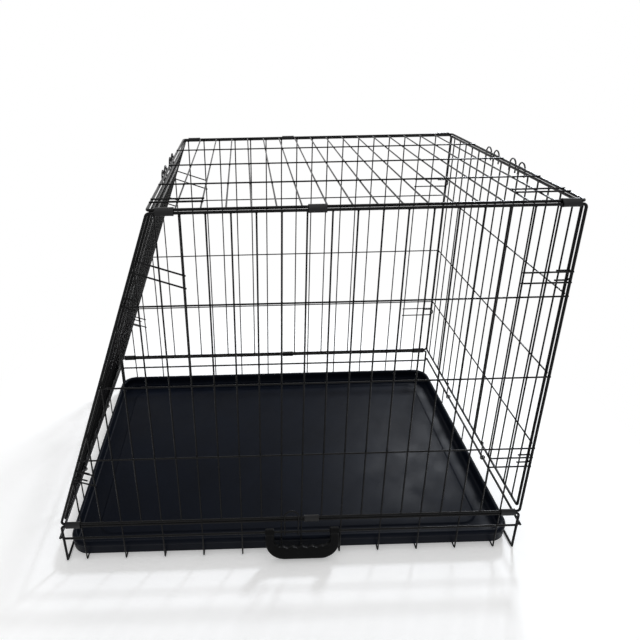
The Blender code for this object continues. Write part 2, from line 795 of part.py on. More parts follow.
def build_ring(pivot, material):
    """A wire bail hung over the near side's bottom rail and hooked under the base's hoop wire."""
    half = RING_WIDTH / 2
    pivot = Vector(pivot)
    stand = pivot - Y * EYE_RADIUS
    hook_drop = pivot.z - HOOP_Z + HOOP_REACH + MESH_SPAN + WELD
    crown = stand + Z * (RING_ABOVE - half)
    path = [stand + X * half - Z * hook_drop, *arc(crown, half, X, Z, 0, 180, 6)]
    path.append(stand - X * half - Z * hook_drop)
    bm = bmesh.new()
    sweep(bm, path, MESH_WIRE, MESH_SIDES, Y)
    ring = make_object("ring_latch", bm, pivot, material)
    turns = bmesh.new()
    for hand in (-1, 1):
        middle = pivot + X * (hand * half)
        sweep(turns, eye_path(middle, EYE_RADIUS, Y, Z, 180, -RING_WRAP, 4), MESH_WIRE, MESH_SIDES, X)
        foot = stand + X * (hand * half) - Z * hook_drop
        sweep(turns, [foot - Y * MESH_FLAT, foot + Y * RING_HOOK], MESH_WIRE, MESH_SIDES, X)
    combine(ring, turns)
    return ring


def clear_scene():
    for item in list(bpy.data.objects):
        bpy.data.objects.remove(item)


def build():
    clear_scene()
    steel = make_material("powder_coated_wire", (0.012, 0.012, 0.013), 0.38, 0.0)
    spring = make_material("clip_steel", (0.10, 0.10, 0.105), 0.32, 0.9)
    pan = make_material("tray_plastic", (0.014, 0.014, 0.015), 0.5, 0.0)
    grip = make_material("handle_plastic", (0.010, 0.010, 0.010), 0.42, 0.0)

    floor = build_floor(steel)
    build_long_wall("base_near_wall", Y_NEAR, 1, steel)
    build_long_wall("base_far_wall", Y_FAR, -1, steel)
    build_end_wall("base_rear_wall", X_PIN, -1, steel)
    build_end_wall("base_front_wall", -X_PIN, 1, steel)
    tray = build_tray(pan)
    carry(tray, floor)

    far_hinge = (0, Y_FAR, SIDE_BOTTOM_Z)
    near_hinge = (0, Y_NEAR, SIDE_BOTTOM_Z)
    top_hinge = (0, Y_NEAR + TOP_INSET, TOP_Z)
    far_side = build_side("far_side_panel", Y_FAR, 1, far_hinge, steel)
    near_side = build_side("near_side_panel", Y_NEAR, -1, near_hinge, steel)
    top = build_top(top_hinge, steel)
    carry(far_side, floor)
    carry(near_side, floor)
    carry(top, near_side)

    for place, spaces in TOP_CLIP_SPACES.items():
        x = column_x(spaces)
        rails = ((Y_NEAR, SIDE_TOP_Z), (Y_NEAR + TOP_INSET, TOP_Z))
        clip = build_clip(f"near_top_clip_{place}", x, *rails, near_hinge, spring)
        carry(clip, near_side)
        rails = ((Y_FAR - TOP_INSET, TOP_Z), (Y_FAR, SIDE_TOP_Z))
        clip = build_clip(f"far_top_clip_{place}", x, *rails, top_hinge, spring, hooked=True)
        carry(clip, top)
    for place, spaces in BOTTOM_CLIP_SPACES.items():
        for side, y in (("near", Y_NEAR), ("far", Y_FAR)):
            rails = ((y, WALL_RAIL_Z), (y, SIDE_BOTTOM_Z))
            clip = build_clip(f"{side}_bottom_clip_{place}", column_x(spaces), *rails, (0, 0, 0), spring)
            carry(clip, floor)

    rear_pin = Vector((X_PIN, Y_MID, END_RAIL_Z))
    rear_place = Matrix.Translation(rear_pin)
    rear = build_rear_end(rear_place, steel)
    carry(rear, floor)

    front_pin = Vector((-X_PIN, Y_MID, END_RAIL_Z))
    up = Vector((math.cos(SLANT), 0, math.sin(SLANT)))
    out = Vector((-math.sin(SLANT), 0, math.cos(SLANT)))
    front_place = Matrix.Translation(front_pin) @ Matrix((out, -Y, up)).transposed().to_4x4()
    arm = EYE_RADIUS
    plane = arm - ARM_OFFSET
    top_reach = (END_TOP_Z - END_RAIL_Z - plane * math.cos(SLANT)) / math.sin(SLANT)
    front = build_front_end(front_place, top_reach, plane, arm, steel)
    carry(front, floor)
    door_pin = (plane, -door_opening(top_reach)[0], 0)
    door = build_door(front_place, door_pin, top_reach, plane, steel)
    carry(door, front)
    for name, share in zip(("door_bolt_lower", "door_bolt_upper"), BOLT_SHARES):
        bolt = build_bolt(name, share, front_place, top_reach, plane, spring)
        carry(bolt, door)

    handle_x = column_x(HANDLE_CENTRE_SPACES)
    handle = build_handle(Vector((handle_x, Y_NEAR, HOOP_Z)), grip)
    carry(handle, floor)
    ring = build_ring((column_x(RING_CENTRE_SPACES), Y_NEAR, SIDE_BOTTOM_Z), steel)
    carry(ring, floor)


build()
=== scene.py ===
"""Looks of the folding slant-front wire travel kennel: round coated wires with their welds,
pressed clips, a moulded pan, a moulded handle, and the studio round them.

Lengths are in metres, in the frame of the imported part: +Z is up, the slanted door end
looks towards -X and the carry handle hangs on the -Y side. Angles among the named values are
in degrees where they don't say otherwise.
"""

import math

import bmesh
import bpy
from mathutils import Matrix, Vector


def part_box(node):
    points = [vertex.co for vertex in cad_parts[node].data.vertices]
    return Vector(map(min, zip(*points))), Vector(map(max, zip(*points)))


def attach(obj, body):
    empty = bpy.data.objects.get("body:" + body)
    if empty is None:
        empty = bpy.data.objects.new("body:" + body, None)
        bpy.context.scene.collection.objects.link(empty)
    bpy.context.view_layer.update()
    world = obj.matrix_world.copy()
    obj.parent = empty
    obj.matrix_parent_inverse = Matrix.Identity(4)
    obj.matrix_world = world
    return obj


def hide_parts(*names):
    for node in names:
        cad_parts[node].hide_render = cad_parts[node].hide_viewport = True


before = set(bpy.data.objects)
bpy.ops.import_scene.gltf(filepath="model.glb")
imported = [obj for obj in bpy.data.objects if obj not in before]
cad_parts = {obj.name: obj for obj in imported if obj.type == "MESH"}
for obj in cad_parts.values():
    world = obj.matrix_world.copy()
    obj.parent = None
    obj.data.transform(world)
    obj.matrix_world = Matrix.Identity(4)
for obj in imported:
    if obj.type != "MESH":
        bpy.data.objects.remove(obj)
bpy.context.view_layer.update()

X = Vector((1, 0, 0))
Y = Vector((0, 1, 0))
Z = Vector((0, 0, 1))

# Wires and cage
PITCH = 0.0395
SIDE_SPACES = 23
TOP_LENGTH = 0.683
WIDTH = 0.620
SIDE_HEIGHT = 0.632
FRAME_WIRE = 0.005
MESH_WIRE = 0.003
HOOP_WIRE = 0.0045
BEND = 0.006
FOOT_BEND = 0.004
CROSSING = 0.0024
WALL_RAIL_Z = 0.092
SIDE_BOTTOM_Z = 0.097798
HOOP_Z = 0.060
END_RAIL_Z = 0.064
END_RAIL_OVER = 0.003
PIN_OUTSIDE = 0.0058
Y_MID = 0.00975
LONG_WIRE_SPACING = 0.155
FLOOR_INDEX = (1, 3, 5, 7, 9, 11, 12, 14, 16, 18, 20, 22)
SIDE_ROWS = 4
TOP_RISE = 0.0038
TOP_INSET = 0.0052
REAR_PAIR_HEIGHTS = (0.616, 0.597, 0.234, 0.213)
REAR_PAIR_SPACES = 2
SLANT_PAIRS = {16: (0.556, 0.536), 21: (0.134, 0.112)}

# Stop loops and short wire pairs of the top; its cross wires sit a little off the sides' uprights
LOOP_WIDTH = 0.027
LOOP_ABOVE = 0.0100
LOOP_BELOW = 0.016
LOOP_OFFSETS = (1.0, 2.0)
TOP_WIRE_SHIFT = -0.0075
REAR_TOP_PAIR = (-0.2390, -0.2575)
FRONT_TOP_PAIR = (-0.2505, -0.2690)
TOP_PAIR_SPACES = 2

# Weld nuggets: half the width across, and half the height along the normal
CROSS_WELD = (0.0022, 0.0016)
BUTT_WELD = (0.0023, 0.0011)
RAIL_WELD = (0.0025, 0.0012)
ROW_WELD = (0.0027, 0.0022)
POST_WELD = (0.0026, 0.0022)
HOOK_WELD = (0.0026, 0.0020)
HOOP_WELD = (0.0027, 0.0020)
CORNER_WELD = (0.0034, 0.0030)
PIN_WELD = (0.0030, 0.0026)
EYE_WELD = (0.0028, 0.0022)
STAPLE_WELD = (0.0024, 0.0014)
RING_WELD = (0.0019, 0.0024)

# End panels and door
END_INSET = 0.0083
END_FOOT = 0.0395
END_TOP_Z = 0.7286
END_WIRES = 7
EYE_SPACES = 3
EYE_TURN = 280
EYE_RADIUS = 0.00466
EYE_STEPS = 20
ARM_OFFSET = 0.00321
HAIRPIN_OUT = 0.006
HAIRPIN_IN = 0.0215
HAIRPIN_WIDTH = 0.0175
HAIRPIN_HEIGHTS = (0.543, 0.162)
HAIRPIN_OVER_POST = 0.001
HAIRPIN_TO_WELD = 0.0018
DOOR_SPACES = 11
DOOR_SILL = 0.079
DOOR_HEAD = 0.0395
DOOR_INSET = 0.0070
HINGE_SHARES = (0.1, 0.42, 0.87)
HINGE_ARM = 0.008
HINGE_ARM_SINK = 0.0009
HINGE_TURN = (90, 340)
BOLT_SHARES = (0.34, 0.66)
BOLT_LENGTH = 0.090
BOLT_ROD = 0.005
BOLT_KNOB = 0.009
BOLT_STANDOFF = 0.0061
STAPLE_HALF = 0.00438

# Clips, with their places counted in wire spaces from the rear post
CLIP_WIDTH = 0.0284
CLIP_SHEET = 0.0014
CLIP_BORE = 0.0036
TOP_CLIP_SHIFT = {"front": -0.0038, "middle": -0.0038, "rear": 0.0}
CLIP_HOOK = 0.62
CLIP_FROM_CORNER = 0.592
CLIP_MIDDLE = 10.5
TOP_CLIP_SPACES = {
    "front": math.floor(TOP_LENGTH / PITCH) - 0.5,
    "middle": CLIP_MIDDLE,
    "rear": CLIP_FROM_CORNER,
}
BOTTOM_CLIP_SPACES = {
    "front": SIDE_SPACES - CLIP_FROM_CORNER,
    "middle": CLIP_MIDDLE,
    "rear": CLIP_FROM_CORNER,
}
CLIP_FLARE = ((-1, 0.0005), (-0.9, 0.0001), (-0.5, 0.0), (0.5, 0.0), (0.9, 0.0001), (1, 0.0005))
CLIP_EDGE_RADIANS = 1.2
CLIP_EDGE_ROUND = 0.00035

# Ring latch
RING_CENTRE_SPACES = 11.5
RING_WIDTH = 0.027
RING_ABOVE = 0.021
RING_HOOK = 0.0065
RING_HOOK_BELOW = 0.0043
RING_WRAP = 130
RING_CROWN_STEPS = 16

# Tray
TRAY_SHEET = 0.0028
TRAY_BEAD = 0.0045
TRAY_WALL_INSET = 0.0012
TRAY_DRAFT = 0.0012
TRAY_CORNER = 0.036
TRAY_CORNER_STEPS = 14
TRAY_GUTTER = 0.045
TRAY_STEP = 0.0025
TRAY_BEAD_DEGREES = range(10, 151, 20)

# Handle
HANDLE_CENTRE_SPACES = 10.95
HANDLE_LENGTH = 0.148
HANDLE_DROP = 0.0555
HANDLE_LEG_WIDTH = 0.018
HANDLE_LEG_DEPTH = 0.012
HANDLE_GRIP_HEIGHT = 0.026
HANDLE_GRIP_DEPTH = 0.017
HANDLE_BARREL = 0.0145
HANDLE_BORE = 0.0062
HANDLE_CORNER = 0.026
HANDLE_CORNER_DROP = 0.9
HANDLE_CORNER_STEPS = 8
HANDLE_LEAN = 17
HANDLE_FINGERS = 4
HANDLE_FINGER_STEPS = 12
HANDLE_SCALLOP = 0.0028
HANDLE_SQUARENESS = 1.16
HANDLE_RING_SIDES = 20
HANDLE_BARREL_SIDES = 40
HANDLE_BORE_SIDES = 32
HANDLE_VOXEL = 0.0007
HANDLE_RELAX_STEPS = 6

LENGTH = PITCH * SIDE_SPACES
X_REAR = LENGTH / 2
X_FRONT = -LENGTH / 2
X_PIN = LENGTH / 2 + PIN_OUTSIDE
X_TOP_FRONT = X_REAR - TOP_LENGTH
Y_NEAR = Y_MID - WIDTH / 2
Y_FAR = Y_MID + WIDTH / 2
SIDE_TOP_Z = SIDE_BOTTOM_Z + SIDE_HEIGHT
TOP_Z = SIDE_TOP_Z + TOP_RISE
SLANT = math.atan2(SIDE_HEIGHT, LENGTH - TOP_LENGTH)
FLOOR_CROSS_Z = MESH_WIRE / 2
FLOOR_LONG_Z = FLOOR_CROSS_Z + CROSSING
HANDLE_BARREL_X = (HANDLE_LENGTH - HANDLE_LEG_WIDTH) / 2


def column_x(index):
    """Place along the cage of an upright wire, counted from the rear post."""
    return X_REAR - index * PITCH


def slant_x(z):
    """Place along the cage of the sides' slanted edge at this height."""
    return X_FRONT + (z - SIDE_BOTTOM_Z) / math.tan(SLANT)


def slant_z(x):
    """Height of the sides' slanted edge at this place along the cage."""
    return SIDE_BOTTOM_Z + (x - X_FRONT) * math.tan(SLANT)


# Objects


def linked(name, data):
    """A new object of the scene with this data."""
    item = bpy.data.objects.new(name, data)
    bpy.context.scene.collection.objects.link(item)
    return item


def mesh_of(name, bm):
    """A new mesh that takes over the finished bmesh."""
    mesh = bpy.data.meshes.new(name)
    bm.to_mesh(mesh)
    bm.free()
    return mesh


def evaluated_mesh(item):
    """The mesh of an object with its bevel or modifiers applied."""
    bpy.context.view_layer.update()
    return bpy.data.meshes.new_from_object(item.evaluated_get(bpy.context.evaluated_depsgraph_get()))


def piece(name, bm, material, body, slot, *nodes, angle=40):
    """Turn a finished bmesh into a smooth-shaded object that rides on its body."""
    mesh = mesh_of(name, bm)
    mesh.materials.append(material)
    mesh.shade_smooth()
    mesh.set_sharp_from_angle(angle=math.radians(angle))
    item = linked(name, mesh)
    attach(item, body)
    if nodes:
        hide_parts(*nodes)
    return item


# Curves and wires


def arc(centre, radius, along, up, start, end, steps=12):
    """Points round an arc, with angles in degrees from along towards up."""
    points = []
    for k in range(steps + 1):
        angle = math.radians(start + (end - start) * k / steps)
        points.append(centre + along * (radius * math.cos(angle)) + up * (radius * math.sin(angle)))
    return points


def rounded(points, radius, closed=False, steps=6):
    """The same path with each corner taken round an arc."""
    points = [Vector(point) for point in points]
    count = len(points)
    path = []
    for i, corner in enumerate(points):
        if not closed and i in (0, count - 1):
            path.append(corner)
            continue
        back = (points[i - 1] - corner).normalized()
        ahead = (points[(i + 1) % count] - corner).normalized()
        half = back.angle(ahead) / 2
        trim = radius / math.tan(half)
        middle = corner + (back + ahead).normalized() * (radius / math.sin(half))
        start = corner + back * trim - middle
        end = corner + ahead * trim - middle
        for k in range(steps + 1):
            path.append(middle + start.slerp(end, k / steps).normalized() * radius)
    return path


class WireMat:
    """Round wires gathered into one panel, with a squeezed weld where two of them meet."""

    def __init__(self, name, place=None):
        self.name = name
        self.place = place or Matrix()
        self.curve = bpy.data.curves.new(name, "CURVE")
        self.curve.dimensions = "3D"
        self.curve.bevel_depth = 1.0
        self.curve.bevel_resolution = 4
        self.curve.use_fill_caps = True
        self.welds = bmesh.new()

    def run(self, points, diameter=MESH_WIRE, bend=0.0, closed=False):
        """Add one wire along these points, with its corners bent to this radius."""
        path = rounded(points, bend, closed) if bend else points
        spline = self.curve.splines.new("POLY")
        spline.points.add(len(path) - 1)
        for target, point in zip(spline.points, path):
            target.co = (*(self.place @ Vector(point)), 1)
            target.radius = diameter / 2
        spline.use_cyclic_u = closed

    def weld(self, point, normal, size=CROSS_WELD):
        """A flattened nugget between two wires, squeezed out across its normal."""
        turn = Z.rotation_difference(Vector(normal)).to_matrix().to_4x4()
        spread, height = size
        nugget = Matrix.Diagonal((spread, spread, height, 1))
        matrix = self.place @ Matrix.Translation(point) @ turn @ nugget
        bmesh.ops.create_uvsphere(self.welds, u_segments=8, v_segments=5, radius=1, matrix=matrix)

    def finish(self, material, body, *nodes):
        """Join the wires and their welds into one piece on this body."""
        source = linked(self.name + "_curve", self.curve)
        mesh = evaluated_mesh(source)
        bpy.data.objects.remove(source)
        self.welds.from_mesh(mesh)
        bpy.data.meshes.remove(mesh)
        return piece(self.name, self.welds, material, body, "coated_wire", *nodes, angle=50)


# Finishes


class Finish:
    """A procedural material on Object coordinates, built round one Principled shader."""

    def __init__(self, name, roughness, specular, metallic=0.0):
        self.material = bpy.data.materials.new(name)
        self.material.use_nodes = True
        self.tree = self.material.node_tree
        self.shader = self.tree.nodes["Principled BSDF"]
        self.shader.inputs["Roughness"].default_value = roughness
        self.shader.inputs["Metallic"].default_value = metallic
        self.shader.inputs["Specular IOR Level"].default_value = specular
        self.place = self.add("ShaderNodeTexCoord").outputs["Object"]

    def add(self, kind, **values):
        node = self.tree.nodes.new(kind)
        for key, value in values.items():
            setattr(node, key, value)
        return node

    def join(self, source, target):
        self.tree.links.new(source, target)

    def noise(self, scale, detail=3.0, rough=0.55, stretch=None):
        node = self.add("ShaderNodeTexNoise")
        node.inputs["Scale"].default_value = scale
        node.inputs["Detail"].default_value = detail
        node.inputs["Roughness"].default_value = rough
        source = self.place
        if stretch:
            mapping = self.add("ShaderNodeMapping")
            mapping.inputs["Scale"].default_value = stretch
            self.join(source, mapping.inputs["Vector"])
            source = mapping.outputs["Vector"]
        self.join(source, node.inputs["Vector"])
        return node.outputs["Fac"]

    def spread(self, source, low, high, to_low=0.0, to_high=1.0):
        node = self.add("ShaderNodeMapRange")
        ends = {"From Min": low, "From Max": high, "To Min": to_low, "To Max": to_high}
        for name, value in ends.items():
            node.inputs[name].default_value = value
        self.join(source, node.inputs["Value"])
        return node.outputs["Result"]

    def blend(self, share, first, second):
        node = self.add("ShaderNodeMix", data_type="RGBA")
        self.join(share, node.inputs["Factor"])
        for socket, value in ((node.inputs[6], first), (node.inputs[7], second)):
            if isinstance(value, tuple):
                socket.default_value = (*value, 1)
            else:
                self.join(value, socket)
        return node.outputs[2]

    def colour(self, source):
        self.join(source, self.shader.inputs["Base Color"])

    def roughness(self, source):
        self.join(source, self.shader.inputs["Roughness"])

    def bump(self, source, depth, strength=1.0):
        """Stack a bump of this depth on what is already there."""
        node = self.add("ShaderNodeBump")
        node.inputs["Distance"].default_value = depth
        node.inputs["Strength"].default_value = strength
        self.join(source, node.inputs["Height"])
        held = self.shader.inputs["Normal"]
        if held.links:
            self.join(held.links[0].from_socket, node.inputs["Normal"])
        self.join(node.outputs["Normal"], held)


def coated_wire():
    """Black dip-coated steel: glossy, a little wavy, with small rubs down to a grey primer."""
    finish = Finish("coated_wire", 0.3, specular=0.11)
    cloud = finish.spread(finish.noise(38, 4), 0.3, 0.7)
    body = finish.blend(cloud, (0.0015, 0.0015, 0.0018), (0.0030, 0.0030, 0.0033))
    rub = finish.spread(finish.noise(95, 6, 0.7), 0.70, 0.78)
    finish.colour(finish.blend(rub, body, (0.022, 0.021, 0.020)))
    finish.roughness(finish.spread(finish.noise(210, 3), 0.25, 0.75, 0.18, 0.30))
    finish.bump(finish.noise(420, 2), 0.00004, 0.5)
    finish.bump(finish.noise(1900, 2), 0.00001, 0.4)
    return finish.material


def clip_sheet():
    """Black plated spring sheet with rolling lines along it and rubbed corners."""
    finish = Finish("clip_sheet", 0.32, metallic=0.2, specular=0.2)
    grain = finish.noise(60, 5, 0.6, stretch=(0.35, 6, 6))
    share = finish.spread(grain, 0.3, 0.7)
    body = finish.blend(share, (0.007, 0.007, 0.0075), (0.014, 0.014, 0.015))
    rub = finish.spread(finish.noise(260, 5, 0.7), 0.64, 0.74)
    finish.colour(finish.blend(rub, body, (0.045, 0.044, 0.042)))
    finish.roughness(finish.spread(grain, 0.2, 0.8, 0.24, 0.42))
    finish.bump(grain, 0.00004, 0.6)
    return finish.material


def sky_tinted_pan_plastic():
    """Moulded black plastic with a fine pebbled grain and faint dulled patches; its blue tint is a
    painted reflection of the sky.
    """
    finish = Finish("sky_tinted_pan_plastic", 0.42, specular=0.05)
    patch = finish.spread(finish.noise(7, 5, 0.6), 0.3, 0.7)
    # Painted reflection: the body and scuff colours carry a blue tint that stands in for sky reflected
    # in the pan, while the patches between the two tones vary at random.
    body = finish.blend(patch, (0.0020, 0.0031, 0.0064), (0.0032, 0.0050, 0.0102))
    scuff = finish.spread(finish.noise(26, 8, 0.75, stretch=(1, 3.2, 1)), 0.66, 0.80)
    finish.colour(finish.blend(scuff, body, (0.009, 0.011, 0.016)))
    finish.roughness(finish.spread(finish.noise(16, 5), 0.3, 0.7, 0.36, 0.50))
    pebble = finish.add("ShaderNodeTexVoronoi", feature="SMOOTH_F1")
    pebble.inputs["Scale"].default_value = 700
    finish.join(finish.place, pebble.inputs["Vector"])
    finish.bump(pebble.outputs["Distance"], 0.00010, 0.55)
    finish.bump(finish.noise(55, 3), 0.00025, 0.25)
    return finish.material


def handle_plastic():
    """Moulded black plastic, smoother than the pan, with flow marks and polished high spots."""
    finish = Finish("handle_plastic", 0.36, specular=0.06)
    flow = finish.noise(45, 4, 0.6, stretch=(1, 2.5, 2.5))
    share = finish.spread(flow, 0.3, 0.7)
    finish.colour(finish.blend(share, (0.0020, 0.0020, 0.0023), (0.0038, 0.0038, 0.0042)))
    finish.roughness(finish.spread(finish.noise(120, 4), 0.25, 0.75, 0.28, 0.44))
    finish.bump(finish.noise(900, 2), 0.00005, 0.5)
    finish.bump(flow, 0.00012, 0.3)
    return finish.material


WIRE = coated_wire()
SHEET = clip_sheet()
PAN = sky_tinted_pan_plastic()
GRIP = handle_plastic()


# Base


def build_base():
    """The welded basket: floor wires turned up at both edges, and a rail round the top."""
    mat = WireMat("base_wire_basket")
    foot = FRAME_WIRE / 2
    for index in FLOOR_INDEX:
        x = column_x(index)
        tops = (x, Y_NEAR, WALL_RAIL_Z), (x, Y_FAR, WALL_RAIL_Z)
        feet = (x, Y_NEAR, FLOOR_CROSS_Z), (x, Y_FAR, FLOOR_CROSS_Z)
        mat.run([tops[0], feet[0], feet[1], tops[1]], bend=FOOT_BEND)
        for y in (Y_NEAR, Y_FAR):
            mat.weld((x, y, WALL_RAIL_Z - foot), Z, RAIL_WELD)
            mat.weld((x, y, HOOP_Z), Y, HOOP_WELD)
    for side in (-1, 0, 1):
        y = Y_MID + side * LONG_WIRE_SPACING
        tops = (-X_PIN, y, END_RAIL_Z), (X_PIN, y, END_RAIL_Z)
        feet = (-X_PIN, y, FLOOR_LONG_Z), (X_PIN, y, FLOOR_LONG_Z)
        mat.run([tops[0], feet[0], feet[1], tops[1]], bend=FOOT_BEND)
        for index in FLOOR_INDEX:
            mat.weld((column_x(index), y, FLOOR_CROSS_Z + CROSSING / 2), Z)
        for x in (-X_PIN, X_PIN):
            mat.weld((x, y, END_RAIL_Z - foot), Z, RAIL_WELD)
    for y in (Y_NEAR, Y_FAR):
        feet = (X_FRONT, y, foot), (X_REAR, y, foot)
        corners = (X_FRONT, y, WALL_RAIL_Z), (X_REAR, y, WALL_RAIL_Z)
        mat.run([feet[0], *corners, feet[1]], FRAME_WIRE, BEND)
        mat.run([(X_FRONT, y, HOOP_Z), (X_REAR, y, HOOP_Z)], HOOP_WIRE)
        for x in (X_FRONT, X_REAR):
            mat.weld((x, y, HOOP_Z), X, CORNER_WELD)
    for hand in (-1, 1):
        x = hand * X_PIN
        rail = [(x, y, END_RAIL_Z) for y in (Y_NEAR - END_RAIL_OVER, Y_FAR + END_RAIL_OVER)]
        mat.run(rail, FRAME_WIRE)
        bent = (Y_NEAR, HOOP_Z), (Y_NEAR, foot), (Y_FAR, foot), (Y_FAR, HOOP_Z)
        mat.run([(hand * LENGTH / 2, y, z) for y, z in bent], FRAME_WIRE, FOOT_BEND)
        for y in (Y_NEAR, Y_FAR):
            mat.weld((x - hand * PIN_OUTSIDE / 2, y, END_RAIL_Z), X, PIN_WELD)
    walls = ["base_near_wall", "base_far_wall", "base_front_wall", "base_rear_wall"]
    mat.finish(WIRE, "base", "base_floor_grid", *walls)


# Side and top panels


def build_side(name, node, body, y, outward):
    """One long side, with its rows and short hook wires laid over the uprights' outside."""
    mat = WireMat(name)
    corners = [
        (X_REAR, y, SIDE_BOTTOM_Z),
        (X_FRONT, y, SIDE_BOTTOM_Z),
        (X_TOP_FRONT, y, SIDE_TOP_Z),
        (X_REAR, y, SIDE_TOP_Z),
    ]
    mat.run(corners, FRAME_WIRE, BEND, closed=True)
    layer = y + outward * CROSSING
    joint = y + outward * CROSSING / 2
    row_heights = [SIDE_BOTTOM_Z + row * SIDE_HEIGHT / SIDE_ROWS for row in range(1, SIDE_ROWS)]
    uprights = []
    for index in range(1, SIDE_SPACES):
        x = column_x(index)
        head = SIDE_TOP_Z if x > X_TOP_FRONT + BEND else slant_z(x)
        uprights.append(x)
        mat.run([(x, y, SIDE_BOTTOM_Z), (x, y, head)])
        for z, step in ((SIDE_BOTTOM_Z, 1), (head, -1)):
            mat.weld((x, y, z + step * FRAME_WIRE / 2), Z, BUTT_WELD)
        for z in row_heights:
            if z < head - FRAME_WIRE:
                mat.weld((x, joint, z), Y)
    for z in row_heights:
        mat.run([(slant_x(z) - MESH_WIRE / 2, layer, z), (X_REAR + MESH_WIRE / 2, layer, z)])
        for x in (slant_x(z), X_REAR):
            mat.weld((x, joint, z), Y, ROW_WELD)
    for z in REAR_PAIR_HEIGHTS:
        end = column_x(REAR_PAIR_SPACES)
        mat.run([(end - MESH_WIRE, layer, z), (X_REAR + MESH_WIRE / 2, layer, z)])
        for index in range(REAR_PAIR_SPACES + 1):
            mat.weld((column_x(index), joint, z), Y)
    fall = 1 / math.tan(SLANT)
    for column, heights in SLANT_PAIRS.items():
        for height in heights:
            z = SIDE_BOTTOM_Z + height
            x = slant_x(z)
            run = column_x(column) + MESH_WIRE - x
            start = (x - MESH_WIRE / 2, layer, z + fall * MESH_WIRE / 2)
            mat.run([start, (x + run, layer, z - run * fall)])
            mat.weld((x, joint, z), Y, HOOK_WELD)
            for upright in uprights:
                if x < upright < x + run:
                    mat.weld((upright, joint, z - (upright - x) * fall), Y)
    mat.finish(WIRE, body, node)


def build_top():
    """The top panel, with its long and short wires laid over the cross wires."""
    mat = WireMat("top_wires")
    near = Y_NEAR + TOP_INSET
    far = Y_FAR - TOP_INSET
    ends = ((X_REAR, near), (X_REAR, far), (X_TOP_FRONT, far), (X_TOP_FRONT, near))
    mat.run([(x, y, TOP_Z) for x, y in ends], FRAME_WIRE, BEND, closed=True)
    layer = TOP_Z + CROSSING
    spaces = range(1, math.ceil(TOP_LENGTH / PITCH))
    columns = [column_x(index) + TOP_WIRE_SHIFT for index in spaces]
    columns = [x for x in columns if x > X_TOP_FRONT + BEND]
    for x in columns:
        mat.run([(x, near, TOP_Z), (x, far, TOP_Z)])
        for y, step in ((near, 1), (far, -1)):
            mat.weld((x, y + step * FRAME_WIRE / 2, TOP_Z), Y, BUTT_WELD)
    for side in (-1, 0, 1):
        y = Y_MID + side * LONG_WIRE_SPACING
        mat.run([(X_TOP_FRONT - MESH_WIRE / 2, y, layer), (X_REAR + MESH_WIRE / 2, y, layer)])
        for x in [X_TOP_FRONT, *columns, X_REAR]:
            mat.weld((x, y, TOP_Z + CROSSING / 2), Z)
    pairs = [(X_REAR, columns[:TOP_PAIR_SPACES], offset) for offset in REAR_TOP_PAIR]
    pairs += [(X_TOP_FRONT, columns[:-TOP_PAIR_SPACES - 1:-1], offset) for offset in FRONT_TOP_PAIR]
    for rail, crossed, offset in pairs:
        y = Y_MID + offset
        hand = math.copysign(MESH_WIRE, rail - crossed[-1])
        mat.run([(rail + hand / 2, y, layer), (crossed[-1] - hand, y, layer)])
        for x in [rail, *crossed]:
            mat.weld((x, y, TOP_Z + CROSSING / 2), Z)
    half = LOOP_WIDTH / 2
    for x, outward in ((X_REAR, 1), (X_TOP_FRONT, -1)):
        stand = x + outward * ARM_OFFSET
        for offset in LOOP_OFFSETS:
            for hand in (-1, 1):
                y = Y_MID + hand * offset * PITCH
                crown = Vector((stand, y, TOP_Z + LOOP_ABOVE - half))
                low = TOP_Z - LOOP_BELOW
                path = [Vector((stand, y + half, low)), *arc(crown, half, Y, Z, 0, 180)]
                mat.run([*path, Vector((stand, y - half, low))])
                for side in (-half, half):
                    mat.weld((x + outward * ARM_OFFSET / 2, y + side, TOP_Z), X, POST_WELD)
    mat.finish(WIRE, "top", "top_panel")


# End panels, drawn upright with the hinge pin along Y through the origin


def mesh_wires(count):
    """Places of a middle wire and this many wires on each side of it."""
    return [k * PITCH for k in range(-count, count + 1)]


def upright_loop(plane, half, low, high):
    """Corners of a frame that stands in the plane, evenly about the middle."""
    return [(plane, -half, low), (plane, half, low), (plane, half, high), (plane, -half, high)]


def end_rows(top):
    """Heights of the mesh rows between the foot and the top."""
    return [END_FOOT + row * (top - END_FOOT) / SIDE_ROWS for row in range(1, SIDE_ROWS)]


def end_fittings(mat, plane, arm):
    """Hinge eyes round the end wall's rail, and the hairpin hooks on both posts."""
    inside = arm < 0
    for hand in (-1, 1):
        y = hand * EYE_SPACES * PITCH
        start = 180 if inside else 0
        turn = EYE_TURN if inside else -EYE_TURN
        eye = arc(Vector((0, y, 0)), EYE_RADIUS, X, Z, start, start + turn, EYE_STEPS)
        mat.run([Vector((arm, y, END_FOOT + FRAME_WIRE)), *eye])
        mat.weld(((arm + plane) / 2, y, END_FOOT), X, EYE_WELD)
        layer = hand * (WIDTH / 2 - END_INSET + FRAME_WIRE / 2 + HAIRPIN_OVER_POST)
        half = HAIRPIN_WIDTH / 2
        for height in HAIRPIN_HEIGHTS:
            tip = Vector((plane + HAIRPIN_OUT - half, layer, height))
            tail = plane - HAIRPIN_IN
            path = [Vector((tail, layer, height - half)), *arc(tip, half, X, Z, -90, 90)]
            mat.run([*path, Vector((tail, layer, height + half))])
            for side in (-half, half):
                mat.weld((plane, layer - hand * HAIRPIN_TO_WELD, height + side), Y, HOOK_WELD)


def butted_upright(mat, plane, y, low, high):
    """A mesh wire butted between two frame wires."""
    mat.run([(plane, y, low), (plane, y, high)])
    for z, step in ((low, 1), (high, -1)):
        mat.weld((plane, y, z + step * FRAME_WIRE / 2), Z, BUTT_WELD)


